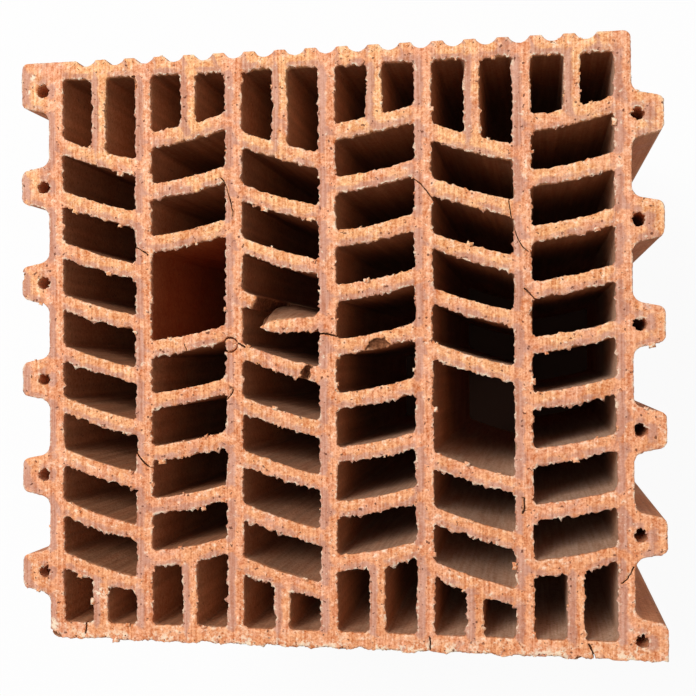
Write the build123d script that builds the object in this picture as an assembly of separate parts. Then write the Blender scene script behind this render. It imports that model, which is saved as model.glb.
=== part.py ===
"""Perforated clay block with toothed ends, standing on its wire-cut bed face.

+X runs along the wall from tooth to tooth, +Y runs through the wall and +Z runs
up along the perforations. The origin is the middle of the lower bed face.
All lengths are in millimetres.
"""

import os

from build123d import *

# Whole block, crest to crest of the fluted faces and bed face to bed face
wall_thickness = 240.0
block_height = 238.0

# Columns of cells, counted from the -X end
column_count = 6
cell_width = 31.6
column_wall = 6.8
end_shell = 6.2
face_shell = 7.4
cell_chamfer = 1.2

# Slanted webs across each column, bowed towards -Y
# Even columns fall towards +X, odd columns rise
web_count = 9
web_thickness = 6.3
web_bow = 0.8
falling_head = 40.1
falling_foot = 28.2
falling_drop = 9.6
rising_head = 30.8
rising_lift = 6.2

# Upright cells in pairs at both ends of each column
divider = 6.2

# Grip holes, each a double cell where one web is left out
grip_rows = {1: 3, 4: 5}

# Teeth on both ends, half a pitch apart so that the next block interlocks
tooth_count = 6
tooth_height = 12.0
tooth_tip = 13.2
tooth_base = 18.0
tooth_first = 12.0
tooth_tip_radius = 3.2
tooth_root_radius = 4.5
tooth_hole_radius = 2.6
tooth_hole_reach = 2.4
corner_radius = 2.8

# Flutes along both faces
flute_count = 17
flute_margin = 16.6
flute_depth = 2.5
flute_width = 8.0
flute_edge_radius = 0.9

# One web is torn near the upper bed face, and its free end is bent towards -Y
torn_column = 2
torn_row = 3
tear_depth = 60.0
stub_upper = 5.4
stub_upper_fall = 3.8
stub_lower = 3.6
stub_lower_fall = 2.0
tear_floor = 0.4
flap_drop = 12.5
flap_sag = 1.9
flap_retreat = 2.7
flap_tip = 1.0
flap_waist = 5.9
flap_swell = 2.1
flap_ledge = 0.4

columns_wide = column_count * cell_width + (column_count - 1) * column_wall
body_width = columns_wide + 2 * end_shell
half_width = body_width / 2
half_thickness = wall_thickness / 2
web_pitch = (wall_thickness - falling_head - falling_foot) / (web_count - 1)
tooth_pitch = wall_thickness / tooth_count
flute_pitch = (body_width - 2 * flute_margin) / (flute_count - 1)


def column_left(column):
    """X of the left side of a column's cells."""
    return end_shell - half_width + column * (cell_width + column_wall)


def web_edge(column, row, side):
    """Left end, middle and right end of a web's edge towards +Y (1) or -Y (-1)."""
    falls = column % 2 == 0
    head = falling_head if falls else rising_head
    rise = -falling_drop if falls else rising_lift
    level = half_thickness - head - row * web_pitch + side * web_thickness / 2
    left = column_left(column)
    return [
        (left, level - rise / 2),
        (left + cell_width / 2, level - web_bow),
        (left + cell_width, level + rise / 2),
    ]


def between(upper, lower):
    """Face between two bowed edges with straight sides."""
    return make_face(
        [
            ThreePointArc(*upper),
            Line(upper[-1], lower[-1]),
            ThreePointArc(*lower),
            Line(lower[0], upper[0]),
        ]
    )


def broken_corners(cell):
    """Cell with its corners broken by a small chamfer."""
    return cell.chamfer_2d(cell_chamfer, cell_chamfer, cell.vertices())


def slanted_cell(column, upper_row, lower_row):
    """Cell between two webs of a column."""
    cell = between(web_edge(column, upper_row, -1), web_edge(column, lower_row, 1))
    return broken_corners(cell.face())


def end_cells(column, row, side):
    """Pair of upright cells between a column's end web and the fluted face."""
    inner = web_edge(column, row, side)
    outer = side * (half_thickness - face_shell)
    pair = make_face(
        [
            ThreePointArc(*inner),
            Line(inner[-1], (inner[-1][0], outer)),
            Line((inner[-1][0], outer), (inner[0][0], outer)),
            Line((inner[0][0], outer), inner[0]),
        ]
    )
    pair -= Pos(inner[1][0], outer) * Rectangle(divider, wall_thickness)
    return [broken_corners(cell) for cell in pair.faces()]


def tooth(end, level, upper_corner, lower_corner):
    """Tooth at one end, carried out to the fluted face where it meets a corner."""
    root = end * half_width
    tip = end * (half_width + tooth_height)
    upper_root = half_thickness if upper_corner else level + tooth_base / 2
    upper_tip = half_thickness if upper_corner else level + tooth_tip / 2
    lower_root = -half_thickness if lower_corner else level - tooth_base / 2
    lower_tip = -half_thickness if lower_corner else level - tooth_tip / 2
    return make_face(
        Polyline(
            (root, upper_root),
            (tip, upper_tip),
            (tip, lower_tip),
            (root, lower_root),
            close=True,
        )
    )


def block_outline():
    """Outer outline of the section, with teeth and flutes."""
    outline = Rectangle(body_width, wall_thickness)
    for index in range(tooth_count):
        level = half_thickness - tooth_first - index * tooth_pitch
        last = index == tooth_count - 1
        outline += tooth(-1, level, index == 0, False)
        outline += tooth(1, level - tooth_pitch / 2, False, last)
    on_face = [v for v in outline.vertices() if abs(v.Y) > half_thickness - flute_depth]
    outline = fillet(on_face, corner_radius)
    tips = [v for v in outline.vertices() if abs(v.X) > half_width + tooth_height - tooth_tip_radius]
    tips = [v for v in tips if abs(v.Y) < half_thickness - tooth_tip_radius - corner_radius]
    outline = fillet(tips, tooth_tip_radius)
    inside = half_thickness - corner_radius - flute_depth
    roots = [v for v in outline.vertices() if abs(v.Y) < inside]
    roots = [v for v in roots if abs(abs(v.X) - half_width) < flute_edge_radius]
    outline = fillet(roots, tooth_root_radius)
    flute_radius = (flute_width**2 / 4 + flute_depth**2) / (2 * flute_depth)
    for index in range(flute_count):
        across = flute_margin - half_width + index * flute_pitch
        for side in (-1, 1):
            level = side * (half_thickness + flute_radius - flute_depth)
            outline -= Pos(across, level) * Circle(flute_radius)
    crests = [v for v in outline.vertices() if abs(v.Y) > half_thickness - flute_edge_radius]
    crests = [v for v in crests if abs(v.X) < half_width - flute_margin + flute_width]
    return fillet(crests, flute_edge_radius)


def block_cells():
    """All cells and tooth holes of the section."""
    cells = []
    for column in range(column_count):
        cells += end_cells(column, 0, 1)
        cells += end_cells(column, web_count - 1, -1)
        rows = [row for row in range(web_count) if row != grip_rows.get(column)]
        for upper_row, lower_row in zip(rows, rows[1:]):
            cells.append(slanted_cell(column, upper_row, lower_row))
    for index in range(tooth_count):
        level = half_thickness - tooth_first - index * tooth_pitch
        reach = half_width + tooth_hole_reach
        cells.append(Pos(-reach, level) * Circle(tooth_hole_radius))
        cells.append(Pos(reach, level - tooth_pitch / 2) * Circle(tooth_hole_radius))
    return cells


def torn_flap():
    """Free end of the torn web, straight at the tear's foot and bent at the bed face."""
    upper = web_edge(torn_column, torn_row, 1)
    lower = web_edge(torn_column, torn_row, -1)
    right = upper[-1][0]
    root = right + column_wall / 2
    root_top = upper[-1][1] - flap_ledge
    root_bottom = lower[-1][1] + flap_ledge
    root_sides = Polyline((right, root_top), (root, root_top), (root, root_bottom), (right, root_bottom))
    sagged_top = root_top - flap_sag
    sagged_bottom = root_bottom - flap_sag
    sagged_sides = Polyline(
        (right, sagged_top),
        (root, sagged_top),
        (root, sagged_bottom),
        (right, sagged_bottom),
    )
    foot_reach = stub_upper + tear_floor
    foot_left = upper[0][0] + foot_reach
    foot_share = foot_reach / cell_width
    foot_fall = falling_drop * foot_share + 4 * web_bow * foot_share * (1 - foot_share)
    foot_top = upper[0][1] - foot_fall - flap_ledge
    foot_bottom = lower[0][1] - foot_fall + flap_ledge
    web_middle = upper[1][0]
    foot = make_face(
        [
            ThreePointArc((foot_left, foot_top), (web_middle, upper[1][1] - flap_ledge), (right, root_top)),
            root_sides,
            ThreePointArc((right, root_bottom), (web_middle, lower[1][1] + flap_ledge), (foot_left, foot_bottom)),
            Line((foot_left, foot_bottom), (foot_left, foot_top)),
        ]
    )
    tip_left = foot_left + flap_retreat
    tip_top = foot_top - flap_drop
    tip_bottom = tip_top - flap_tip
    waist_middle = (tip_left + right) / 2
    waist_top = (tip_top + sagged_top) / 2 + flap_swell
    waist_bottom = waist_top - flap_waist
    head = make_face(
        [
            ThreePointArc((tip_left, tip_top), (waist_middle, waist_top), (right, sagged_top)),
            sagged_sides,
            ThreePointArc((right, sagged_bottom), (waist_middle, waist_bottom), (tip_left, tip_bottom)),
            Line((tip_left, tip_bottom), (tip_left, tip_top)),
        ]
    )
    foot_level = block_height - tear_depth
    return loft([Pos(0, 0, foot_level) * foot, Pos(0, 0, block_height) * head], ruled=True)


def torn_stub():
    """Stub of the torn web left standing on the wall at its higher end."""
    upper = web_edge(torn_column, torn_row, 1)[0]
    lower = web_edge(torn_column, torn_row, -1)[0]
    stub = make_face(
        Polyline(
            (upper[0] - column_wall / 2, upper[1]),
            upper,
            (upper[0] + stub_upper, upper[1] - stub_upper_fall),
            (lower[0] + stub_lower, lower[1] - stub_lower_fall),
            lower,
            (lower[0] - column_wall / 2, lower[1]),
            close=True,
        )
    )
    return Pos(0, 0, block_height - tear_depth) * extrude(stub, tear_depth)


section = block_outline() - block_cells()
clay_block = extrude(section, block_height)
gap = extrude(slanted_cell(torn_column, torn_row - 1, torn_row + 1), tear_depth)
clay_block -= Pos(0, 0, block_height - tear_depth) * gap
clay_block += torn_stub()
clay_block += torn_flap()

os.makedirs("parts", exist_ok=True)
export_step(clay_block.solid(), "parts/clay_block.step")
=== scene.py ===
"""Perforated clay block: torn wire-cut rims, fired clay and a pale studio.

The file is laid out as an add-on and run as a script. Lengths are in metres.
"""

import math
import random
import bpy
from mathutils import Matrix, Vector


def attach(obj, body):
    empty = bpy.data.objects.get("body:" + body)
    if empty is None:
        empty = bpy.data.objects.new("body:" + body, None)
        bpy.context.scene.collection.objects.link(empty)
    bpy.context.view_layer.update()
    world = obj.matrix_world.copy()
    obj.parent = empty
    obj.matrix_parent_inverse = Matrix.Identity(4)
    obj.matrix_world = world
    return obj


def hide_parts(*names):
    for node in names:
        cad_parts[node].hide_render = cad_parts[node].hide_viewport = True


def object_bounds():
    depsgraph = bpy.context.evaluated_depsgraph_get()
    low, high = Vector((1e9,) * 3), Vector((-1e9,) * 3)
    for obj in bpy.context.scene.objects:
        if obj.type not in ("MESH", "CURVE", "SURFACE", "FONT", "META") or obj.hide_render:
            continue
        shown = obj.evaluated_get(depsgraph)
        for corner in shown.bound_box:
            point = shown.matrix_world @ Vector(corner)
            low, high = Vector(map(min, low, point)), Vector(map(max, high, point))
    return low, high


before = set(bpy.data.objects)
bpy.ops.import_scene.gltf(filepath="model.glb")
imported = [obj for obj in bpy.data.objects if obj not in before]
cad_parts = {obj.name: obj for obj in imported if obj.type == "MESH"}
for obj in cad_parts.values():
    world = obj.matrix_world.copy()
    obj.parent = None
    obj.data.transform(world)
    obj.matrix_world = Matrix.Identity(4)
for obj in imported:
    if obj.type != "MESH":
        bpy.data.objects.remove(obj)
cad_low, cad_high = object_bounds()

from types import SimpleNamespace

import bmesh
import bpy
from bpy.props import FloatProperty, FloatVectorProperty, IntProperty, PointerProperty
from mathutils import Euler, Matrix, Vector, noise
from mathutils.kdtree import KDTree

bl_info = {
    "name": "Perforated Clay Block",
    "version": (1, 0, 0),
    "blender": (4, 5, 0),
    "location": "3D View > Sidebar > Clay Block",
    "description": "Dresses a perforated clay block with torn rims and a fired clay finish",
    "category": "Object",
}

MM = 0.001
TOP = cad_high.z
NEAR = 1e-6

# Level of the upper bed face, in millimetres as the places and patterns below
BED = round(TOP / MM, 3)

# Columns of cells and the torn web, from the block's own layout
COLUMN_COUNT = 6
COLUMN_PITCH = 38.4
CELL_WIDTH = 31.6
TORN_LEFT = -35.0
TORN_RIGHT = TORN_LEFT + CELL_WIDTH
TORN_LEVEL = 15.51
TORN_FALL = 9.6
TORN_BOW = 0.8
TORN_HALF = 3.15
TEAR_DEPTH = 60.0
TEAR_AT = TORN_LEFT + 5.3
TEAR_CUT = (1.3, 14.0, TEAR_DEPTH + 6.0)
TEAR_TURN = -17.0

# Rows of points on the walls, measured from the nearer bed face
WALL_ROWS = (TEAR_DEPTH, 40.0, 24.0, 12.0, 5.0)
RIM_ROWS = (2.2, 0.9, 0.0)
FOOT = 6.0
FOOT_ROWS = (2.4, 0.9, 0.0)

# Rims beyond this Y lie on the fluted face where the wire left the clay
WIRE_EXIT = -112.0

# Hairline cracks: start, end, sideways bow, width and depth
CRACKS = (
    ((-83.0, 43.4), (-74.6, 38.4), 0.5, 0.6, 9.0),
    ((-43.6, 69.5), (-38.8, 53.5), 1.1, 0.45, 6.0),
    ((-4.0, 5.7), (3.8, 4.4), 0.4, 0.7, 9.0),
    ((34.4, 66.4), (42.6, 57.0), 0.8, 0.5, 6.0),
    ((73.4, 61.5), (79.2, 36.5), -3.4, 0.5, 6.0),
    ((77.2, 22.4), (82.0, 17.2), 0.3, 0.6, 6.0),
    ((-80.6, -40.2), (-73.0, -48.4), -1.4, 0.6, 6.0),
    ((-37.6, 2.4), (-33.8, 0.6), 0.2, 0.7, 7.0),
    ((-59.6, 2.4), (-58.6, -2.0), 0.3, 0.5, 5.0),
    ((-29.0, -5.6), (-28.2, -9.6), 0.4, 0.5, 5.0),
    ((-39.0, -15.8), (-42.3, -20.7), 0.9, 0.5, 5.0),
    ((76.6, -58.0), (76.2, -64.5), 0.4, 0.6, 6.0),
    ((117.5, -83.4), (113.0, -90.3), 0.6, 0.5, 5.0),
    ((100.3, -113.5), (102.8, -119.5), 0.4, 0.7, 7.0),
    ((39.6, -112.7), (40.0, -118.2), 0.3, 0.6, 6.0),
    ((-102.2, -110.4), (-102.4, -117.0), 0.2, 0.6, 6.0),
)

# Ring crack round a bead of clay: centre, radius, width and depth
RING = ((-40.1, 1.6), 2.9, 0.9, 6.0)

# Chalky spots on the upper bed face: centre and radius
CHALK = (
    ((-127.0, 108.2), 1.5),
    ((-124.8, 114.0), 1.8),
    ((-116.0, -113.4), 3.4),
    ((-96.1, -99.8), 3.0),
    ((-100.5, -112.0), 2.2),
    ((119.4, -115.0), 3.0),
    ((89.8, -118.1), 3.2),
    ((51.9, -88.6), 1.8),
)

# Middle and reach of the grip hole whose walls get a painted dark red shade
GRIP_PLACE = (-57.6, 24.8)
GRIP_REACH = (18.5, 23.5)
GRIP_FADE = 3.5

# Reach of the cells from the block's middle line, short of the outer skin
INSIDE = 115.0

# Chips: centre, size and turn about the upright
CHIPS = (
    ((-8.9, -10.2, BED), (3.6, 11.0, 11.0), -24.0),
    ((20.4, -1.1, BED + 0.4), (11.6, 10.4, 8.0), 16.0),
    ((-117.9, -120.0, BED + 0.4), (10.0, 8.4, 8.0), -24.0),
    ((-80.6, 109.6, BED + 0.8), (2.6, 7.0, 5.0), 6.0),
    ((-130.4, 31.0, BED + 0.4), (4.0, 5.0, 5.0), 0.0),
    ((130.6, -24.0, BED + 0.4), (4.6, 4.0, 5.0), 30.0),
    ((6.0, -121.0, BED + 0.4), (7.0, 4.6, 6.0), 0.0),
    ((63.0, -121.2, BED + 0.4), (10.0, 4.4, 6.0), 4.0),
    ((97.0, -120.8, BED + 0.4), (5.0, 5.0, 6.0), 0.0),
)


def length(name, description, millimetres):
    """A length that a user may change."""
    return FloatProperty(name=name, description=description, default=millimetres * MM, unit="LENGTH")


def tone(name, description, colour):
    """A colour that a user may change."""
    return FloatVectorProperty(
        name=name,
        description=description,
        default=(*colour, 1.0),
        size=4,
        subtype="COLOR",
        min=0.0,
        max=1.0,
    )


class ClayBlockSizes(bpy.types.PropertyGroup):
    """Sizes of the torn rims and of the rows that carry them."""

    rim_step: length("Rim Step", "Spacing of points along the upper rims", 0.87)
    foot_step: length("Foot Step", "Spacing of points along the lower rims", 4.0)
    lip_width: length("Lip Width", "Width of the ragged lip round each opening", 0.6)
    shoulder_width: length("Shoulder Width", "Width of the dragged shoulder behind the lip", 1.1)
    rag: length("Raggedness", "Reach of the fine teeth along the rims", 0.72)
    burr: length("Burr", "Reach of the larger burrs that hang into the cells", 1.5)
    chip: length("Chip", "Reach of the small chips broken out of the rims", 1.3)
    flap_drop: length("Flap Drop", "Sideways drop of the torn web's free end", 7.5)
    flap_sag: length("Flap Sag", "Sideways drop of the torn web next to the wall that still holds it", 1.9)
    crumb_count: IntProperty(
        name="Crumbs",
        description="Number of crumbs that cling to the upper rims",
        default=150,
        min=0,
    )
    seed: IntProperty(
        name="Seed",
        description="Chooses another pattern of burrs and chips",
        default=3,
        min=0,
    )


class ClayFinish(bpy.types.PropertyGroup):
    """Colours of the fired clay, some of them also used as painted light and shade in the cells."""

    web_colour: tone("Web Colour", "Peach tone of the cut webs", (0.900, 0.450, 0.205))
    # Wall colour also serves as painted light: the cell walls turn to it further down.
    wall_colour: tone(
        "Wall Colour",
        "Pinker tone of the cut walls between the columns",
        (0.830, 0.350, 0.195),
    )
    # Deep colour also serves as painted bounce light on the cell walls facing +X.
    deep_colour: tone("Deep Colour", "Stronger orange towards the far side", (0.790, 0.315, 0.145))
    skin_colour: tone(
        "Skin Colour",
        "Smooth extruded skin of the cells and the outer faces",
        (0.345, 0.145, 0.064),
    )
    # Random beige patches on the outer faces, and painted light: paler beige on the cell walls facing +Y
    # and -X.
    dust_and_lit_side_colour: tone("Dust and Lit Side Colour", "Beige dust on the walls of the cells", (0.660, 0.410, 0.270))
    # Painted dark red shade inside one grip hole.
    grip_shade_colour: tone("Grip Shade Colour", "Red clay inside one of the grip holes", (0.420, 0.098, 0.022))
    pale_colour: tone("Pale Colour", "Paler, pinkish clay where the wire scraped it", (0.950, 0.590, 0.400))
    mauve_colour: tone("Mauve Colour", "Greyish mauve of the dragged shoulders", (0.560, 0.268, 0.188))
    # Cream of chalky spots and stray flecks, and on the rim lips partly pale torn clay, partly a painted
    # highlight.
    fleck_and_glint_colour: tone("Fleck and Glint Colour", "Cream of fresh torn edges and chalky spots", (0.970, 0.800, 0.590))
    # Orange brown of torn clay and dark specks, also used as painted shade on the cell walls facing -Y.
    break_and_shade_colour: tone("Break and Shade Colour", "Orange brown of torn and broken clay", (0.150, 0.048, 0.017))
    pit_colour: tone("Pit Colour", "Dark brown of pores and burnt specks", (0.150, 0.044, 0.020))


class ClayStage(bpy.types.PropertyGroup):
    """Floor, lights and camera."""

    # Painted shade: dark brown floor under the block's footprint, seen through the cells.
    footprint_shade_colour: tone(
        "Footprint Shade Colour",
        "Clay dust on the floor under the block, seen through the cells",
        (0.150, 0.080, 0.055),
    )
    floor_colour: tone("Floor Colour", "Pale studio floor", (0.80, 0.80, 0.80))
    key_energy: FloatProperty(
        name="Key Light",
        description="Power of the soft light from the upper left",
        default=27.7,
        min=0.0,
        unit="POWER",
    )
    top_energy: FloatProperty(
        name="Top Light",
        description="Power of the soft light straight above that reaches into the cells",
        default=4.6,
        min=0.0,
        unit="POWER",
    )
    fill_strength: FloatProperty(
        name="Fill Light",
        description="Strength of the even light from all round",
        default=0.30,
        min=0.0,
    )
    camera_place: FloatVectorProperty(
        name="Camera Place",
        description="Where the camera stands above the bed face",
        default=(81.2 * MM, -4.2 * MM, 658.7 * MM),
        size=3,
        subtype="TRANSLATION",
    )
    camera_turn: FloatVectorProperty(
        name="Camera Turn",
        description="How the camera is turned away from straight down",
        default=(math.radians(0.49), math.radians(9.84), math.radians(-0.37)),
        size=3,
        subtype="EULER",
    )
    camera_lens: FloatProperty(
        name="Lens",
        description="Focal length in millimetres on a 36 mm sensor",
        default=55.73,
        min=1.0,
    )


def refine(bm, edges, step):
    """Divides edges so that none of their pieces is longer than the step."""
    by_cuts = {}
    for edge in edges:
        by_cuts.setdefault(math.ceil(edge.calc_length() / step) - 1, []).append(edge)
    for cuts, group in sorted(by_cuts.items()):
        if cuts > 0:
            bmesh.ops.subdivide_edges(bm, edges=group, cuts=cuts)


def ring_at(bm, level):
    """Edges that lie in one level."""
    return [e for e in bm.edges if all(abs(v.co.z - level) < NEAR for v in e.verts)]


def carry(bm, level, new_level):
    """Extrudes the ring at one level to another."""
    made = bmesh.ops.extrude_edge_only(bm, edges=ring_at(bm, level))["geom"]
    for vert in (g for g in made if isinstance(g, bmesh.types.BMVert)):
        vert.co.z = new_level


def bed_rings(node):
    """Outline and cell edges of the lower bed face, as loose edges."""
    bm = bmesh.new()
    bm.from_mesh(node.data)
    bmesh.ops.remove_doubles(bm, verts=bm.verts[:], dist=NEAR * 5)
    bed = cad_low.z
    above = [f for f in bm.faces if any(v.co.z > bed + NEAR * 10 for v in f.verts)]
    bmesh.ops.delete(bm, geom=above, context="FACES")
    inner = [e for e in bm.edges if len(e.link_faces) == 2]
    bmesh.ops.delete(bm, geom=bm.faces[:], context="FACES_ONLY")
    bmesh.ops.delete(bm, geom=inner, context="EDGES")
    return bm


def fill(bm, level):
    """Closes the block at one level, leaving the cells open."""
    made = bmesh.ops.triangle_fill(bm, use_beauty=True, use_dissolve=False, edges=ring_at(bm, level))
    return [g for g in made["geom"] if isinstance(g, bmesh.types.BMFace)]


def patch(x, y, size, layer):
    """Seeded noise in the plane of the bed face, from -1 to 1."""
    return noise.noise(Vector((x / size, y / size, layer * 7.31)))


def over(value, limit):
    """How far a value passes a limit, as a share of what is left."""
    return max(0.0, value - limit) / (1.0 - limit)


def throw_of(vert):
    """Direction from a rim into its opening."""
    sum_of = Vector((0.0, 0.0, 0.0))
    for face in vert.link_faces:
        if abs(face.normal.z) < 0.5:
            sum_of += face.normal
    sum_of.z = 0.0
    return sum_of.normalized()


def below(vert, up):
    """Next point down (or up) the wall from a rim point."""
    for edge in vert.link_edges:
        other = edge.other_vert(vert)
        if (vert.co.z - other.co.z) * up > NEAR:
            return other
    raise RuntimeError("a rim point has no wall under it")


def behind(vert, taken):
    """Point on the bed face straight behind a rim point."""
    for edge in vert.link_edges:
        other = edge.other_vert(vert)
        if other not in taken and abs(other.co.z - vert.co.z) < NEAR:
            return other
    raise RuntimeError("a rim point has no lip behind it")


def joined(start, rims):
    """Rim points that can be reached along one rim."""
    found, queue = {start}, [start]
    while queue:
        vert = queue.pop()
        for edge in vert.link_edges:
            other = edge.other_vert(vert)
            if other in rims and other not in found:
                found.add(other)
                queue.append(other)
    return found


def rag_rim(rims, chains, sizes, share, up):
    """Tears the rims: fine teeth, hanging burrs and small chips."""
    outer = joined(min(rims, key=lambda v: v.co.x), set(rims))
    for vert in rims:
        rows, backs = chains[vert]
        x, y = vert.co.x / MM, vert.co.y / MM
        throw = throw_of(vert)
        exit_side = 1.0 - 0.5 * throw.y
        calm = 1.0
        if vert in outer:
            calm = 0.40 if y < WIRE_EXIT else 0.22
        fine = 1.1 * patch(x, y, 0.9, sizes.seed)
        fine += 0.6 * patch(x, y, 2.3, sizes.seed + 1) + 0.6 * patch(x, y, 8.0, sizes.seed + 5)
        burr = over(patch(x, y, 2.0, sizes.seed + 2), 0.30) * exit_side
        chip = over(patch(x, y, 3.4, sizes.seed + 3), 0.26) * (1.0 - 0.3 * throw.y)
        reach = share * calm * (sizes.rag * fine * exit_side + sizes.burr * burr - sizes.chip * chip)
        drag = over(-throw.x, 0.35) * (0.60 + 0.60 * patch(x, y, 6.0, sizes.seed + 4))
        bed_sink = 0.10 * MM if up > 0.0 else 0.0
        sink = share * (bed_sink + calm * sizes.chip * 0.55 * chip + 0.60 * MM * drag)
        vert.co += throw * reach
        vert.co.z -= up * sink
        for row, weight in zip(rows, (0.75, 0.40, 0.15)):
            row.co += throw * reach * weight
            row.co.z -= up * sink * weight * 0.9
        for back, weight, lower in zip(backs, (0.75, 0.35), (0.62, 0.12)):
            back.co += throw * min(reach, 0.0) * weight
            back.co.z -= up * sink * lower


def smear_flutes(rims, chains, sizes):
    """Drags crumbling clay over the flutes' ends on the side where the wire leaves."""
    for vert in rims:
        if vert.co.y > cad_low.y + 4.0 * MM:
            continue
        rows, backs = chains[vert]
        x = vert.co.x / MM
        share = 0.86 + 0.30 * noise.noise(Vector((x / 14.0, 3.0, sizes.seed)))
        wave = noise.noise(Vector((x / 9.0, 9.0, sizes.seed)))
        crumble = wave + 0.40 * noise.noise(Vector((x / 2.4, 4.0, sizes.seed)))
        goal = cad_low.y + 0.9 * MM + 1.1 * MM * crumble
        pull = Vector((0.0, min(1.0, share) * (goal - vert.co.y), 0.0))
        vert.co += pull
        vert.co.z -= 0.5 * MM * max(0.0, crumble + 0.3)
        for row, weight in zip(rows, (0.85, 0.6, 0.3)):
            row.co += pull * weight
        for back, weight in zip(backs, (0.7, 0.35)):
            back.co += pull * weight


def rim_chains(rims, up, insets):
    """For each rim point, the wall points under it and the lip points behind it."""
    chains = {}
    taken = set(rims)
    for vert in rims:
        rows, last = [], vert
        for _ in range(3):
            last = below(last, up)
            rows.append(last)
        chains[vert] = (rows, [])
    for _ in range(insets):
        fresh = []
        for vert in rims:
            backs = chains[vert][1]
            backs.append(behind(backs[-1] if backs else vert, taken))
            fresh.append(backs[-1])
        taken.update(fresh)
    return chains


def torn_middle(x):
    """Y of the torn web's middle line, in millimetres."""
    along = (x - TORN_LEFT) / CELL_WIDTH
    return TORN_LEVEL + TORN_FALL * (0.5 - along) - 4.0 * TORN_BOW * along * (1.0 - along)


def join(bm, lump):
    """Adds one loose lump to a mesh that is being gathered."""
    mesh = bpy.data.meshes.new("lump")
    lump.to_mesh(mesh)
    lump.free()
    bm.from_mesh(mesh)
    bpy.data.meshes.remove(mesh)


def rough_lump(centre, size, turn, bend, roughness, cuts, seed):
    """A closed, rough lump of clay, straight or bowed."""
    lump = bmesh.new()
    bmesh.ops.create_cube(lump, size=1.0)
    bmesh.ops.subdivide_edges(lump, edges=lump.edges[:], cuts=cuts, use_grid_fill=True)
    turned = Matrix.Rotation(math.radians(turn), 3, "Z")
    for vert in lump.verts:
        along = 2.0 * vert.co.x
        place = Vector([vert.co[i] * size[i] for i in range(3)])
        place.y += bend * math.sqrt(max(0.0, 1.0 - along * along))
        grain = (Vector(centre) + place) / (2.0 * roughness + 0.6)
        place += roughness * noise.noise_vector(grain + Vector((seed, 0.0, 0.0)))
        vert.co = (Vector(centre) + turned @ place) * MM
    return lump


def ring_cutter(centre, radius, width, depth):
    """Thin upright ring that a round crack is cut with."""
    ring = bmesh.new()
    for reach in (radius - width / 2.0, radius + width / 2.0):
        bmesh.ops.create_circle(ring, segments=36, radius=reach)
    bmesh.ops.bridge_loops(ring, edges=ring.edges[:])
    made = bmesh.ops.extrude_face_region(ring, geom=ring.faces[:])["geom"]
    raised = [g for g in made if isinstance(g, bmesh.types.BMVert)]
    bmesh.ops.translate(ring, verts=raised, vec=(0.0, 0.0, depth))
    for vert in ring.verts:
        wave = 0.35 * noise.noise_vector(vert.co / 1.8 + Vector((4.0, 2.0, 0.0)))
        vert.co = (Vector((centre[0], centre[1], BED - depth / 2.0)) + vert.co + wave) * MM
    return ring


def damage_mesh():
    """Lumps that the tear, the chips and the cracks are cut with."""
    bm = bmesh.new()
    centre = (TEAR_AT, torn_middle(TEAR_AT) - 0.4, BED - 0.5 * TEAR_DEPTH + 3.0)
    tear = rough_lump(centre, TEAR_CUT, TEAR_TURN, 0.0, 0.9, 11, 2.0)
    for vert in tear.verts:
        open_share = (vert.co.z / MM - BED + TEAR_DEPTH) / TEAR_DEPTH
        vert.co.x += (vert.co.x - TEAR_AT * MM) * 0.25 * open_share
    join(bm, tear)
    for index, (centre, size, turn) in enumerate(CHIPS):
        lump = bmesh.ops.create_icosphere(bm, subdivisions=3, radius=0.5)["verts"]
        turned = Matrix.Rotation(math.radians(turn), 3, "Z")
        for vert in lump:
            place = turned @ Vector([vert.co[i] * size[i] for i in range(3)])
            grain = place / 1.5 + Vector((index * 9.7, 1.0, 0.0))
            vert.co = (Vector(centre) + place + 1.5 * noise.noise_vector(grain)) * MM
    for index, (start, end, bow, width, depth) in enumerate(CRACKS):
        run = Vector(end) - Vector(start)
        centre = (Vector(start) + Vector(end)) / 2.0
        turn = math.degrees(math.atan2(run.y, run.x))
        size = (run.length, width, depth)
        join(bm, rough_lump((centre.x, centre.y, BED), size, turn, bow, 0.40, 9, 20.0 + index))
    join(bm, ring_cutter(*RING))
    bmesh.ops.recalc_face_normals(bm, faces=bm.faces[:])
    torn = bm.verts.layers.float.new("torn")
    for vert in bm.verts:
        vert[torn] = 1.0
    return bm


def crumb_spots(rims, throws, sizes):
    """Rim points nearest to places chosen by chance, each with its throw and a crumb's size."""
    tree = KDTree(len(rims))
    for index, vert in enumerate(rims):
        tree.insert(vert.co, index)
    tree.balance()
    chance = random.Random(sizes.seed)
    spots = []
    for _ in range(sizes.crumb_count):
        x = chance.uniform(cad_low.x, cad_high.x)
        y = chance.uniform(cad_low.y, cad_high.y)
        size = 0.4 + 1.4 * chance.random() ** 2.6
        place, index, _ = tree.find((x, y, TOP))
        if not on_torn_web(place.x / MM, place.y / MM):
            spots.append((place, throws[index], size))
    return spots


def add_crumbs(bm, spots):
    """Crumbs that cling to the rims."""
    for index, (place, throw, size) in enumerate(spots):
        turn = math.degrees(math.atan2(throw.y, throw.x)) + 90.0
        centre = place / MM + throw * 0.15 * size
        lump = rough_lump(centre, (1.5 * size, size, 0.9 * size), turn, 0.2, 0.45, 1, 50.0 + index)
        # Crumbs take the full lip value, so they get the cream flecks and painted highlight of the lips.
        lip = lump.verts.layers.float.new("lip")
        for vert in lump.verts:
            vert[lip] = 1.0
        join(bm, lump)


def on_torn_web(x, y):
    """Whether a place lies on the torn web or just beside it."""
    return TORN_LEFT < x < TORN_RIGHT and abs(y - torn_middle(x)) < TORN_HALF + 2.2


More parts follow.
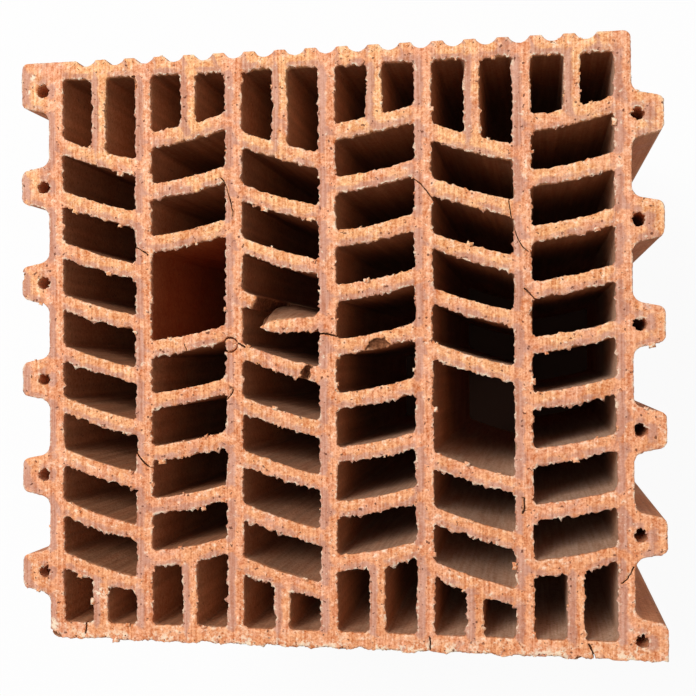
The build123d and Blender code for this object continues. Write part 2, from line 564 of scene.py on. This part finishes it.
def flap_points(mesh):
    """Points of the torn web on the free side of the tear."""
    links = {}
    for vert in mesh.vertices:
        x, y, z = (c / MM for c in vert.co)
        if on_torn_web(x, y) and z > BED - TEAR_DEPTH + 2.0:
            links[vert.index] = []
    for edge in mesh.edges:
        first, second = edge.vertices
        if first in links and second in links:
            links[first].append(second)
            links[second].append(first)
    queue = [i for i in links if mesh.vertices[i].co.x / MM > TEAR_AT + 8.0]
    found = set(queue)
    while queue:
        for other in links[queue.pop()]:
            if other not in found:
                found.add(other)
                queue.append(other)
    return found


def bend_flap(mesh, sizes):
    """Bends the torn web's free end away from its stub."""
    for index in flap_points(mesh):
        vert = mesh.vertices[index]
        x, y, z = (c / MM for c in vert.co)
        rise = min(1.0, (z - BED + TEAR_DEPTH) / TEAR_DEPTH)
        out = min(1.0, (TORN_RIGHT - x) / (CELL_WIDTH - 5.8))
        turn = rise**2.5
        held = min(1.0, (TORN_RIGHT - x) / 3.0)
        wedge = (0.18 * out + 0.66 * out**5) * (0.65 + 0.35 * turn)
        shift = turn * (sizes.flap_sag * held + sizes.flap_drop * out**1.35)
        vert.co.y -= wedge * (y - torn_middle(x)) * MM + shift
        vert.co.x += 2.4 * MM * turn * out


def stack_rows(bm, levels):
    """Carries the ring at the first level to each of the others in turn."""
    for level, new_level in zip(levels, levels[1:]):
        carry(bm, level, new_level)


def rim_points(bm, level, up):
    """Points of one bed face that a wall hangs from."""
    found = []
    for vert in bm.verts:
        drops = ((level - e.other_vert(vert).co.z) * up for e in vert.link_edges)
        if abs(vert.co.z - level) < NEAR and any(drop > NEAR for drop in drops):
            found.append(vert)
    return found


def mark_rims(bm, rims, chains):
    """Notes for the finish how torn each lip is, which also places the cream flecks and painted highlight
    on it, and how far the wire dragged it.
    """
    lip = bm.verts.layers.float["lip"]
    drag = bm.verts.layers.float["drag"]
    for vert in rims:
        throw = throw_of(vert)
        vert[lip] = 0.8 - 0.2 * throw.y
        pulled = over(-throw.x, 0.35)
        if vert.co.y > WIRE_EXIT * MM:
            pulled = max(pulled, 0.62 * over(-throw.y, 0.5))
        vert[drag] = pulled
        for back, share in zip(chains[vert][1], (0.55, 0.0)):
            back[lip] = share
            back[drag] = max(back[drag], 0.9 * pulled)


def block_mesh(node, sizes):
    """The block's mesh: plain walls with fine torn rims on both bed faces."""
    bm = bed_rings(node)
    foot = FOOT * MM
    for vert in bm.verts:
        vert.co.z = foot
    walls = [foot] + [TOP - d * MM for d in WALL_ROWS]
    stack_rows(bm, walls)
    refine(bm, ring_at(bm, walls[-1]), sizes.rim_step)
    stack_rows(bm, walls[-1:] + [TOP - d * MM for d in RIM_ROWS])
    refine(bm, ring_at(bm, foot), sizes.foot_step)
    stack_rows(bm, [foot] + [d * MM for d in FOOT_ROWS])
    upper = fill(bm, TOP)
    fill(bm, 0.0)
    bmesh.ops.recalc_face_normals(bm, faces=bm.faces[:])
    for width in (sizes.lip_width, sizes.shoulder_width):
        bmesh.ops.inset_region(bm, faces=upper, thickness=width, use_boundary=True, use_even_offset=True)
    bm.normal_update()
    for name in ("lip", "drag", "torn"):
        bm.verts.layers.float.new(name)
    rims = rim_points(bm, TOP, 1.0)
    chains = rim_chains(rims, 1.0, 2)
    mark_rims(bm, rims, chains)
    smear_flutes([v for v in rims if v.co.y < WIRE_EXIT * MM], chains, sizes)
    throws = [throw_of(v) for v in rims]
    rag_rim(rims, chains, sizes, 1.0, 1.0)
    spots = crumb_spots(rims, throws, sizes)
    feet = rim_points(bm, 0.0, -1.0)
    rag_rim(feet, rim_chains(feet, -1.0, 0), sizes, 0.7, -1.0)
    for vert in bm.verts:
        vert.co.z = max(vert.co.z, 0.0)
    bmesh.ops.triangulate(bm, faces=bm.faces[:])
    mesh = bpy.data.meshes.new("clay_block_dressed")
    bm.to_mesh(mesh)
    bm.free()
    return mesh, spots


def cut_damage(piece):
    """Cuts the tear, the chips and the cracks out of the block."""
    bm = damage_mesh()
    mesh = bpy.data.meshes.new("damage")
    bm.to_mesh(mesh)
    bm.free()
    cutter = bpy.data.objects.new("damage", mesh)
    bpy.context.scene.collection.objects.link(cutter)
    cut = piece.modifiers.new("damage", "BOOLEAN")
    cut.object = cutter
    cut.operation = "DIFFERENCE"
    cut.solver = "MANIFOLD"
    bpy.context.view_layer.update()
    whole = piece.data
    evaluated = piece.evaluated_get(bpy.context.evaluated_depsgraph_get())
    piece.data = bpy.data.meshes.new_from_object(evaluated)
    piece.modifiers.clear()
    if len(piece.data.polygons) < len(whole.polygons) // 2:
        raise RuntimeError("the damage could not be cut")
    bpy.data.objects.remove(cutter)
    bpy.data.meshes.remove(mesh)
    bpy.data.meshes.remove(whole)


class ClayNodes:
    """Builds the nodes of one material."""

    def __init__(self, material):
        material.use_nodes = True
        self.tree = material.node_tree
        self.shader = self.tree.nodes["Principled BSDF"]

    def node(self, kind, inputs=None, **settings):
        made = self.tree.nodes.new(kind)
        for name, value in settings.items():
            setattr(made, name, value)
        for name, value in (inputs or {}).items():
            self.feed(made.inputs[name], value)
        return made

    def feed(self, socket, value):
        if isinstance(value, bpy.types.NodeSocket):
            self.tree.links.new(value, socket)
        else:
            socket.default_value = value

    def math(self, operation, first, second=0.0, clamp=False):
        made = self.node("ShaderNodeMath", operation=operation, use_clamp=clamp)
        self.feed(made.inputs[0], first)
        self.feed(made.inputs[1], second)
        return made.outputs[0]

    def ramp(self, value, low, high, start=0.0, end=1.0):
        ends = {"From Min": low, "From Max": high, "To Min": start, "To Max": end}
        made = self.node("ShaderNodeMapRange", {"Value": value, **ends}, interpolation_type="SMOOTHSTEP")
        return made.outputs["Result"]

    def sway(self, pattern, reach):
        """A pattern centred on nought and stretched to a reach."""
        return self.math("MULTIPLY", self.math("SUBTRACT", pattern, 0.5), reach)

    def attribute(self, name):
        return self.node("ShaderNodeAttribute", attribute_name=name).outputs["Fac"]

    def mix(self, factor, first, second, blend="MIX"):
        made = self.node("ShaderNodeMix", data_type="RGBA", blend_type=blend)
        self.feed(made.inputs["Factor"], factor)
        self.feed(made.inputs["A"], first)
        self.feed(made.inputs["B"], second)
        return made.outputs["Result"]

    def place(self, scale, offset=(0.0, 0.0, 0.0)):
        coordinate = self.node("ShaderNodeTexCoord").outputs["Object"]
        made = self.node("ShaderNodeMapping", {"Vector": coordinate, "Location": offset, "Scale": scale})
        return made.outputs["Vector"]

    def noise(self, scale, detail=3.0, roughness=0.6, offset=(0.0, 0.0, 0.0)):
        made = self.node(
            "ShaderNodeTexNoise",
            {"Vector": self.place(scale, offset), "Scale": 1.0, "Detail": detail, "Roughness": roughness},
        )
        return made.outputs["Fac"]

    def spots(self, scale, size, share, offset=(0.0, 0.0, 0.0)):
        """Round spots in a share of the cells of a random pattern."""
        made = self.node("ShaderNodeTexVoronoi", {"Vector": self.place(scale, offset), "Scale": 1.0})
        chosen = self.node("ShaderNodeSeparateColor", {"Color": made.outputs["Color"]})
        present = self.math("LESS_THAN", chosen.outputs["Red"], share)
        reach = self.math("MULTIPLY", self.math("ADD", chosen.outputs["Green"], 0.35), size)
        inside = self.math("SUBTRACT", 1.0, self.math("DIVIDE", made.outputs["Distance"], reach))
        return self.math("MULTIPLY", self.ramp(inside, 0.0, 0.55), present)


def clay_maps(n):
    """Places in millimetres, and the patterns that colour and relief are mixed with."""
    axes = n.node("ShaderNodeSeparateXYZ", {"Vector": n.place((1000.0, 1000.0, 1000.0))})
    return SimpleNamespace(
        along=axes.outputs["X"],
        across=axes.outputs["Y"],
        level=axes.outputs["Z"],
        cloud=n.noise((22.0, 22.0, 22.0), 2.0, 0.55),
        patches=n.noise((95.0, 95.0, 95.0), 2.0, 0.55, (5.0, 2.0, 0.0)),
        mottle=n.noise((190.0, 190.0, 190.0), 3.0, 0.65, (3.0, 1.0, 0.0)),
        blush=n.noise((430.0, 430.0, 430.0), 2.0, 0.62, (9.0, 1.0, 0.0)),
        crumble=n.noise((620.0, 620.0, 620.0), 2.0, 0.65, (1.0, 4.0, 0.0)),
        grain=n.noise((1300.0, 1300.0, 1300.0), 1.0, 0.7),
        lines=n.noise((900.0, 34.0, 34.0), 1.0, 0.65),
        streaks=n.noise((260.0, 260.0, 9.0), 1.0, 0.6, (0.1, 0.5, 0.0)),
    )


def bed_colour(n, finish, maps):
    """Cut clay of the bed faces, and the share of it that the wire dragged smooth."""
    columns = n.math("DIVIDE", n.math("ADD", maps.along, COLUMN_COUNT * COLUMN_PITCH), COLUMN_PITCH)
    phase = n.math("FRACT", columns)
    off_wall = n.math("ABSOLUTE", n.math("SUBTRACT", phase, n.math("ROUND", phase)))
    from_wall = n.math("MULTIPLY", off_wall, COLUMN_PITCH)
    on_wall = n.ramp(n.math("ADD", from_wall, n.sway(maps.mottle, 6.0)), 6.5, 2.5)
    far = n.ramp(n.math("ADD", maps.across, n.sway(maps.cloud, 160.0)), 90.0, -90.0)
    colour = n.mix(n.math("MULTIPLY", on_wall, 0.75), finish.web_colour, finish.wall_colour)
    colour = n.mix(n.math("MULTIPLY", far, 0.80), colour, finish.deep_colour)
    colour = n.mix(n.ramp(maps.patches, 0.42, 0.68, 0.0, 0.75), colour, finish.wall_colour)
    colour = n.mix(n.ramp(maps.blush, 0.50, 0.72, 0.0, 0.58), colour, finish.pale_colour)
    colour = n.mix(n.ramp(maps.blush, 0.48, 0.30, 0.0, 0.45), colour, finish.deep_colour)
    dragged = n.ramp(n.math("ADD", n.attribute("drag"), n.sway(maps.mottle, 1.1)), 0.25, 0.65)
    smeared = n.math("MULTIPLY", n.ramp(maps.patches, 0.60, 0.70), n.ramp(maps.mottle, 0.40, 0.62))
    mauve = n.math("MAXIMUM", n.math("MULTIPLY", dragged, 0.85), n.math("MULTIPLY", smeared, 0.7))
    return n.mix(mauve, colour, finish.mauve_colour), n.math("MAXIMUM", dragged, smeared)


def grain_tint(n, maps, smooth):
    """Multiplier for drag lines and grain, weaker where the clay was dragged smooth."""
    grain = n.ramp(maps.grain, 0.32, 0.68, -0.14, 0.14)
    speck = n.math("ADD", grain, n.ramp(maps.crumble, 0.32, 0.68, -0.15, 0.15))
    rough_share = n.math("SUBTRACT", 1.0, n.math("MULTIPLY", smooth, 0.55))
    scratches = n.ramp(maps.lines, 0.30, 0.70, -0.14, 0.14)
    shade = n.math("ADD", scratches, n.math("MULTIPLY", speck, rough_share))
    tint = n.node("ShaderNodeCombineColor")
    for name, weight in (("Red", 0.85), ("Green", 1.55), ("Blue", 2.05)):
        n.feed(tint.inputs[name], n.math("ADD", 1.0, n.math("MULTIPLY", shade, weight)))
    return tint.outputs["Color"]


def fleck_and_glint_share(n, maps):
    """Cream flecks on the torn lips, partly pale torn clay and partly a painted highlight along the rims,
    with stray flecks and chalky spots.
    """
    # Painted highlight on part of the rim lips, mixed with pale torn clay.
    lips = n.math("MULTIPLY", n.ramp(n.attribute("lip"), 0.30, 0.90), n.ramp(maps.crumble, 0.46, 0.60))
    lips = n.math("MULTIPLY", lips, n.ramp(maps.mottle, 0.40, 0.58))
    strays = n.ramp(maps.blush, 0.67, 0.74)
    flecks = n.math("MAXIMUM", n.math("MULTIPLY", lips, 0.85), n.math("MULTIPLY", strays, 0.55))
    flat = n.node("ShaderNodeCombineXYZ", {"X": maps.along, "Y": maps.across}).outputs["Vector"]
    on_edge = n.ramp(maps.across, WIRE_EXIT, WIRE_EXIT - 7.0)
    chalk = n.math("MULTIPLY", on_edge, n.ramp(maps.mottle, 0.46, 0.60))
    for centre, radius in CHALK:
        gap = n.node("ShaderNodeVectorMath", {0: flat, 1: (*centre, 0.0)}, operation="DISTANCE")
        chalk = n.math("MAXIMUM", chalk, n.ramp(gap.outputs["Value"], radius, 0.4 * radius))
    chalk = n.math("MULTIPLY", chalk, n.ramp(maps.crumble, 0.42, 0.56))
    return n.math("MAXIMUM", flecks, n.math("MULTIPLY", chalk, 0.85))


def hole_share(n, maps):
    """Pores and small scars."""
    pores = n.spots((330.0, 330.0, 330.0), 0.19, 0.30)
    scars = n.ramp(n.noise((560.0, 560.0, 560.0), 2.0, 0.5, (7.0, 3.0, 0.0)), 0.655, 0.71)
    return n.math("MULTIPLY", n.math("MAXIMUM", pores, scars), n.ramp(maps.crumble, 0.36, 0.48))


def outer_skin(n, finish, maps):
    """Streaked skin of the teeth and the fluted faces."""
    skin = n.mix(n.ramp(maps.streaks, 0.28, 0.72, 0.46, 0.74), finish.skin_colour, finish.deep_colour)
    skin = n.mix(n.ramp(maps.cloud, 0.42, 0.70, 0.0, 0.36), skin, finish.dust_and_lit_side_colour)
    skin = n.mix(n.ramp(maps.patches, 0.50, 0.74, 0.0, 0.38), skin, finish.mauve_colour)
    return n.mix(n.ramp(maps.blush, 0.52, 0.72, 0.0, 0.40), skin, finish.wall_colour)


def cell_skin(n, finish, maps):
    """Skin of the cells, with painted light and shade: paler beige on the sides facing +Y and -X, darker
    facing -Y, more orange facing +X, lighter and pinker far down, and a painted dark red shade in one grip
    hole.
    """
    normal = n.node("ShaderNodeTexCoord").outputs["Normal"]
    facing = n.node("ShaderNodeSeparateXYZ", {"Vector": normal})
    facing_x, facing_y = facing.outputs["X"], facing.outputs["Y"]
    skin = n.mix(n.ramp(maps.streaks, 0.30, 0.72, 0.0, 0.34), finish.skin_colour, finish.deep_colour)
    # Painted shade: walls facing -Y are darkened towards the break colour.
    skin = n.mix(n.ramp(facing_y, -0.3, -0.9, 0.0, 0.45), skin, finish.break_and_shade_colour)
    # Painted bounce light: walls facing +X turn more orange.
    skin = n.mix(n.ramp(facing_x, 0.3, 0.9, 0.0, 0.28), skin, finish.deep_colour)
    # Painted light: walls facing +Y, more so towards +X, and walls facing -X turn paler beige, on the sides
    # the key light falls on.
    drift = n.math("ADD", maps.along, n.sway(maps.cloud, 90.0))
    lit_side_share = n.math("MULTIPLY", n.ramp(facing_y, 0.3, 0.9), n.ramp(drift, -80.0, 110.0, 0.06, 0.95))
    lit_side_share = n.math("MAXIMUM", lit_side_share, n.ramp(facing_x, -0.3, -0.9, 0.0, 0.85))
    skin = n.mix(lit_side_share, skin, finish.dust_and_lit_side_colour)
    # Painted light: the walls turn lighter and pinker further down, standing in for light deep in the
    # cells.
    skin = n.mix(n.ramp(maps.level, 165.0, 40.0, 0.0, 0.85), skin, finish.wall_colour)
    # Painted shade: one grip hole's walls turn dark red.
    in_grip = 0.9
    for place, middle, reach in zip((maps.along, maps.across), GRIP_PLACE, GRIP_REACH):
        off = n.math("ABSOLUTE", n.math("SUBTRACT", place, middle))
        in_grip = n.math("MULTIPLY", in_grip, n.ramp(off, reach, reach - GRIP_FADE))
    return n.mix(in_grip, skin, finish.grip_shade_colour)


def clay_relief(n, maps):
    """Height of the grain, with drag lines on the bed faces and streaks on the skin."""
    grit = n.math("ADD", n.math("MULTIPLY", maps.grain, 0.45), n.math("MULTIPLY", maps.crumble, 0.8))
    bed = n.math("ADD", n.math("MULTIPLY", maps.lines, 0.5), grit)
    skin = n.math("ADD", n.math("MULTIPLY", maps.streaks, 0.7), n.math("MULTIPLY", grit, 0.5))
    on_bed = n.math("MAXIMUM", n.ramp(maps.level, BED - 2.2, BED - 0.6), n.ramp(maps.level, 2.2, 0.6))
    return n.math("ADD", skin, n.math("MULTIPLY", n.math("SUBTRACT", bed, skin), on_bed))


def clay_material(finish):
    """Fired clay: cut bed faces with flecks and pores, and the skin of cells and sides."""
    material = bpy.data.materials.new("fired_clay")
    n = ClayNodes(material)
    maps = clay_maps(n)
    bed, smooth = bed_colour(n, finish, maps)
    tint = grain_tint(n, maps, smooth)
    bed = n.mix(1.0, bed, tint, "MULTIPLY")
    bed = n.mix(fleck_and_glint_share(n, maps), bed, finish.fleck_and_glint_colour)
    bed = n.mix(n.ramp(maps.grain, 0.70, 0.78, 0.0, 0.55), bed, finish.break_and_shade_colour)

    reach = n.math("MAXIMUM", n.math("ABSOLUTE", maps.along), n.math("ABSOLUTE", maps.across))
    inside = n.ramp(reach, INSIDE + 1.0, INSIDE - 1.0)
    skin = n.mix(inside, outer_skin(n, finish, maps), cell_skin(n, finish, maps))
    skin = n.mix(0.6, skin, n.mix(1.0, skin, tint, "MULTIPLY"))

    fade = n.math("MULTIPLY", maps.mottle, 2.0)
    upper = n.ramp(n.math("ADD", maps.level, fade), BED - 2.4, BED)
    lower = n.ramp(n.math("SUBTRACT", maps.level, fade), 2.4, 0.0)
    cut = n.math("MAXIMUM", upper, lower)
    colour = n.mix(cut, skin, bed)
    holes = n.math("MULTIPLY", hole_share(n, maps), n.ramp(cut, 0.0, 1.0, 0.55, 0.9))
    colour = n.mix(holes, colour, finish.pit_colour)
    broken_share = n.ramp(maps.crumble, 0.35, 0.65, 0.0, 0.28)
    broken = n.mix(broken_share, finish.break_and_shade_colour, finish.deep_colour)
    colour = n.mix(n.ramp(n.attribute("torn"), 0.2, 0.8), colour, broken)

    relief = clay_relief(n, maps)
    bump = n.node("ShaderNodeBump", {"Strength": 0.8, "Distance": 0.7 * MM, "Height": relief})
    n.feed(n.shader.inputs["Base Color"], colour)
    n.feed(n.shader.inputs["Normal"], bump.outputs["Normal"])
    n.feed(n.shader.inputs["Roughness"], n.ramp(maps.grain, 0.2, 0.8, 0.82, 0.96))
    n.shader.inputs["Specular IOR Level"].default_value = 0.22
    return material


class OBJECT_OT_clay_block(bpy.types.Operator):
    """Builds the clay block with its torn rims, damage and finish"""

    bl_idname = "object.clay_block_dress"
    bl_label = "Clay Block"

    def execute(self, context):
        sizes = context.scene.clay_block_sizes
        noise.seed_set(sizes.seed + 1)
        mesh, spots = block_mesh(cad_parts["clay_block"], sizes)
        piece = bpy.data.objects.new("clay_block_dressed", mesh)
        context.scene.collection.objects.link(piece)
        cut_damage(piece)
        bend_flap(piece.data, sizes)
        bm = bmesh.new()
        bm.from_mesh(piece.data)
        bmesh.ops.remove_doubles(bm, verts=bm.verts[:], dist=0.03 * MM)
        add_crumbs(bm, spots)
        bmesh.ops.triangulate(bm, faces=bm.faces[:])
        bm.to_mesh(piece.data)
        bm.free()
        piece.data.materials.clear()
        piece.data.materials.append(clay_material(context.scene.clay_finish))
        piece.data.shade_smooth()
        piece.data.set_sharp_from_angle(angle=math.radians(38.0))
        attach(piece, "root")
        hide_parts("clay_block")
        return {"FINISHED"}


def floor_material(stage):
    """Pale floor that reads white round the block and keeps a soft shadow; under the block's footprint it
    is a painted dark brown shade.
    """
    material = bpy.data.materials.new("studio_floor")
    n = ClayNodes(material)
    n.shader.inputs["Roughness"].default_value = 0.9
    n.shader.inputs["Specular IOR Level"].default_value = 0.1
    axes = n.node("ShaderNodeSeparateXYZ", {"Vector": n.place((1.0, 1.0, 1.0))})
    along, across = (n.math("ABSOLUTE", axes.outputs[name]) for name in "XY")
    beside = n.math("GREATER_THAN", n.math("MAXIMUM", along, across), INSIDE * MM)
    # Painted shade: dark brown under the block's footprint, where the floor is seen only through the cells.
    n.feed(n.shader.inputs["Base Color"], n.mix(beside, stage.footprint_shade_colour, stage.floor_colour))
    path = n.node("ShaderNodeLightPath")
    seen = n.math("ADD", path.outputs["Is Camera Ray"], path.outputs["Is Glossy Ray"], True)
    share = n.math("MULTIPLY", n.math("MULTIPLY", seen, beside), 0.94)
    glow = n.node("ShaderNodeEmission", {"Strength": 1.0})
    mix = n.node("ShaderNodeMixShader", {"Fac": share})
    n.tree.links.new(n.shader.outputs["BSDF"], mix.inputs[1])
    n.tree.links.new(glow.outputs["Emission"], mix.inputs[2])
    n.tree.links.new(mix.outputs["Shader"], n.tree.nodes["Material Output"].inputs["Surface"])
    return material


def add_floor(scene, stage):
    """Wide flat floor under the block."""
    bm = bmesh.new()
    bmesh.ops.create_grid(bm, x_segments=2, y_segments=2, size=6.0)
    mesh = bpy.data.meshes.new("studio_floor")
    bm.to_mesh(mesh)
    bm.free()
    mesh.materials.append(floor_material(stage))
    floor = bpy.data.objects.new("studio_floor", mesh)
    scene.collection.objects.link(floor)


def add_lamps(scene, stage):
    """Soft round lamps that face the middle of the upper bed face."""
    lamps = (
        ("key", (-0.58, 0.60, 1.88), 0.9, stage.key_energy),
        ("top", (0.06, 0.02, 2.20), 0.5, stage.top_energy),
    )
    for name, place, size, energy in lamps:
        light = bpy.data.lights.new(name, "AREA")
        light.shape = "DISK"
        light.size = size
        light.energy = energy
        lamp = bpy.data.objects.new(name, light)
        lamp.location = place
        ray = Vector((0.0, 0.0, TOP)) - lamp.location
        lamp.rotation_euler = ray.to_track_quat("-Z", "Y").to_euler()
        scene.collection.objects.link(lamp)


def add_world(scene, stage):
    """Even light from all round, white where the camera sees it."""
    world = bpy.data.worlds.new("studio")
    scene.world = world
    world.use_nodes = True
    tree = world.node_tree
    fill_light = tree.nodes["Background"]
    fill_light.inputs["Color"].default_value = (1.0, 0.985, 0.97, 1.0)
    fill_light.inputs["Strength"].default_value = stage.fill_strength
    white = tree.nodes.new("ShaderNodeBackground")
    white.inputs["Color"].default_value = (1.0, 1.0, 1.0, 1.0)
    path = tree.nodes.new("ShaderNodeLightPath")
    mix = tree.nodes.new("ShaderNodeMixShader")
    tree.links.new(path.outputs["Is Camera Ray"], mix.inputs["Fac"])
    tree.links.new(fill_light.outputs["Background"], mix.inputs[1])
    tree.links.new(white.outputs["Background"], mix.inputs[2])
    tree.links.new(mix.outputs["Shader"], tree.nodes["World Output"].inputs["Surface"])


def add_camera(scene, stage):
    """Camera at the photograph's viewing angle."""
    lens = bpy.data.cameras.new("camera")
    lens.sensor_width = 36.0
    lens.lens = stage.camera_lens
    lens.clip_start = 0.01
    camera = bpy.data.objects.new("camera", lens)
    camera.location = stage.camera_place
    camera.rotation_euler = Euler(stage.camera_turn)
    scene.collection.objects.link(camera)
    scene.camera = camera


class OBJECT_OT_clay_stage(bpy.types.Operator):
    """Adds the pale floor, the soft lights and the camera"""

    bl_idname = "object.clay_block_stage"
    bl_label = "Studio"

    def execute(self, context):
        scene = context.scene
        for add in (add_floor, add_lamps, add_world, add_camera):
            add(scene, scene.clay_stage)
        scene.view_settings.view_transform = "Standard"
        return {"FINISHED"}


class VIEW3D_PT_clay_block(bpy.types.Panel):
    """Lists the block's sizes, finish and studio"""

    bl_idname = "VIEW3D_PT_clay_block"
    bl_label = "Clay Block"
    bl_space_type = "VIEW_3D"
    bl_region_type = "UI"
    bl_category = "Clay Block"

    def draw(self, context):
        for group in (context.scene.clay_block_sizes, context.scene.clay_finish, context.scene.clay_stage):
            box = self.layout.box()
            for name in group.__annotations__:
                box.prop(group, name)
        self.layout.operator(OBJECT_OT_clay_block.bl_idname)
        self.layout.operator(OBJECT_OT_clay_stage.bl_idname)


CLASSES = (
    ClayBlockSizes,
    ClayFinish,
    ClayStage,
    OBJECT_OT_clay_block,
    OBJECT_OT_clay_stage,
    VIEW3D_PT_clay_block,
)


def register():
    for cls in CLASSES:
        bpy.utils.register_class(cls)
    bpy.types.Scene.clay_block_sizes = PointerProperty(type=ClayBlockSizes)
    bpy.types.Scene.clay_finish = PointerProperty(type=ClayFinish)
    bpy.types.Scene.clay_stage = PointerProperty(type=ClayStage)


def unregister():
    del bpy.types.Scene.clay_stage
    del bpy.types.Scene.clay_finish
    del bpy.types.Scene.clay_block_sizes
    for cls in reversed(CLASSES):
        bpy.utils.unregister_class(cls)


def main():
    register()
    bpy.ops.object.clay_block_dress()
    bpy.ops.object.clay_block_stage()


if __name__ == "__main__":
    main()
